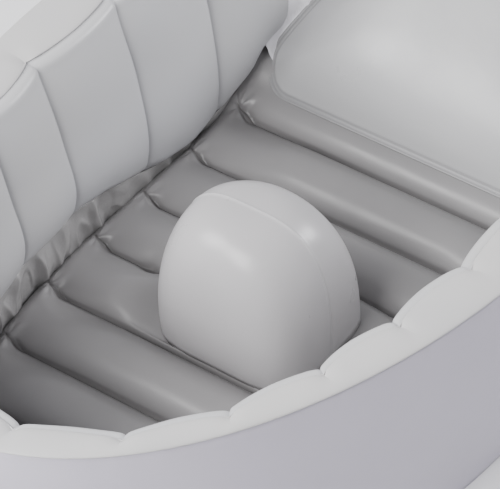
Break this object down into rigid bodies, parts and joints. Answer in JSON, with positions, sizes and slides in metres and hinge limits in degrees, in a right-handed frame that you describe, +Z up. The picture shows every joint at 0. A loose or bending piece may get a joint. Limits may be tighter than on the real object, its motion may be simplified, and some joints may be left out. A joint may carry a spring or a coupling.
{
  "type": "inflatable bath tub",
  "caption": "Oval inflatable bath tub with a scalloped air wall, a ribbed air floor, a domed pommel, a crowned backrest cushion, air valves and a drain.",
  "frame": {"origin": "on the ground, under the middle of the tub", "axes": "+X to the backrest end, +Y to the left side seen from the foot end, +Z up"},
  "size_m": [0.947, 0.5426, 0.24],
  "materials": {
    "film_light": "satin PVC film",
    "film_outer": "satin PVC film",
    "film_dark": "soft-gloss PVC film",
    "valve_soft": "soft satin PVC moulding",
    "valve_clear": "clear PVC film"
  },
  "bodies": {
    "tub": {"backrest_front": "film_light", "backrest_support": "film_light", "backrest_valve_flange": "valve_soft", "drain_seat": "valve_soft", "drain_strap": "valve_soft", "floor_bottom_sheet": "film_dark", "floor_top_sheet": "film_dark", "floor_valve_flange": "valve_soft", "inner_wall_foot": "film_light", "inner_wall_head": "film_light", "inner_wall_left_foot": "film_light", "inner_wall_left_head": "film_light", "inner_wall_right_foot": "film_light", "inner_wall_right_head": "film_light", "outer_wall": "film_outer", "pommel_foot_panel": "film_light", "pommel_head_panel": "film_light", "rim_band": "film_light", "wall_base": "film_outer", "wall_skirt": "film_dark", "wall_valve_flange": "valve_soft", "wall_web_01": "film_light", "wall_web_02": "film_light", "wall_web_03": "film_light", "wall_web_04": "film_light", "wall_web_05": "film_light", "wall_web_06": "film_light", "wall_web_07": "film_light", "wall_web_08": "film_light", "wall_web_09": "film_light", "wall_web_10": "film_light", "wall_web_11": "film_light", "wall_web_12": "film_light", "wall_web_13": "film_light", "wall_web_14": "film_light", "wall_web_15": "film_light", "wall_web_16": "film_light", "wall_web_17": "film_light", "wall_web_18": "film_light", "wall_web_19": "film_light", "wall_web_20": "film_light", "wall_web_21": "film_light", "wall_web_22": "film_light"},
    "wall_valve_stem_body": {"wall_valve_stem": "valve_soft", "wall_valve_strap": "valve_soft"},
    "wall_valve_plug_body": {"wall_valve_plug": "valve_soft"},
    "wall_valve_flap_body": {"wall_valve_flap": "valve_clear"},
    "floor_valve_stem_body": {"floor_valve_stem": "valve_soft", "floor_valve_strap": "valve_soft"},
    "floor_valve_plug_body": {"floor_valve_plug": "valve_soft"},
    "floor_valve_flap_body": {"floor_valve_flap": "valve_clear"},
    "backrest_valve_stem_body": {"backrest_valve_stem": "valve_soft", "backrest_valve_strap": "valve_soft"},
    "backrest_valve_plug_body": {"backrest_valve_plug": "valve_soft"},
    "backrest_valve_flap_body": {"backrest_valve_flap": "valve_clear"},
    "drain_plug_body": {"drain_plug": "valve_soft"}
  },
  "joints": [
    {"name": "wall_valve_stem_slide", "type": "slide", "parent": "tub", "child": "wall_valve_stem_body", "axis": [0.077, 0.9886, -0.1294], "range_m": [0, 0.01]},
    {"name": "wall_valve_plug_pull", "type": "slide", "parent": "wall_valve_stem_body", "child": "wall_valve_plug_body", "axis": [0.077, 0.9886, -0.1294], "range_m": [0, 0.012], "deforming": ["wall_valve_strap"]},
    {"name": "wall_valve_flap_hinge", "type": "hinge", "parent": "wall_valve_stem_body", "child": "wall_valve_flap_body", "pos_m": [0.14079, 0.24466, 0.11297], "axis": [0.997, -0.0776, 0], "range_deg": [0, 60], "stiffness_Nm_per_rad": 0.0005, "springref_deg": -11.46},
    {"name": "floor_valve_stem_slide", "type": "slide", "parent": "tub", "child": "floor_valve_stem_body", "axis": [0, 0, 1], "range_m": [0, 0.01]},
    {"name": "floor_valve_plug_pull", "type": "slide", "parent": "floor_valve_stem_body", "child": "floor_valve_plug_body", "axis": [0, 0, 1], "range_m": [0, 0.012], "deforming": ["floor_valve_strap"]},
    {"name": "floor_valve_flap_hinge", "type": "hinge", "parent": "floor_valve_stem_body", "child": "floor_valve_flap_body", "pos_m": [-0.302, 0.0528, 0.0297], "axis": [-1, 0, 0], "range_deg": [0, 60], "stiffness_Nm_per_rad": 0.0005, "springref_deg": -11.46},
    {"name": "backrest_valve_stem_slide", "type": "slide", "parent": "tub", "child": "backrest_valve_stem_body", "axis": [-0.4948, 0, 0.869], "range_m": [0, 0.01]},
    {"name": "backrest_valve_plug_pull", "type": "slide", "parent": "backrest_valve_stem_body", "child": "backrest_valve_plug_body", "axis": [-0.4948, 0, 0.869], "range_m": [0, 0.012], "deforming": ["backrest_valve_strap"]},
    {"name": "backrest_valve_flap_hinge", "type": "hinge", "parent": "backrest_valve_stem_body", "child": "backrest_valve_flap_body", "pos_m": [0.35626, -0.0072, 0.19806], "axis": [-0.869, 0, -0.4948], "range_deg": [0, 60], "stiffness_Nm_per_rad": 0.0005, "springref_deg": -11.46},
    {"name": "drain_plug_pull", "type": "slide", "parent": "tub", "child": "drain_plug_body", "axis": [0, 0, 1], "range_m": [0, 0.012], "deforming": ["drain_strap"]}
  ]
}
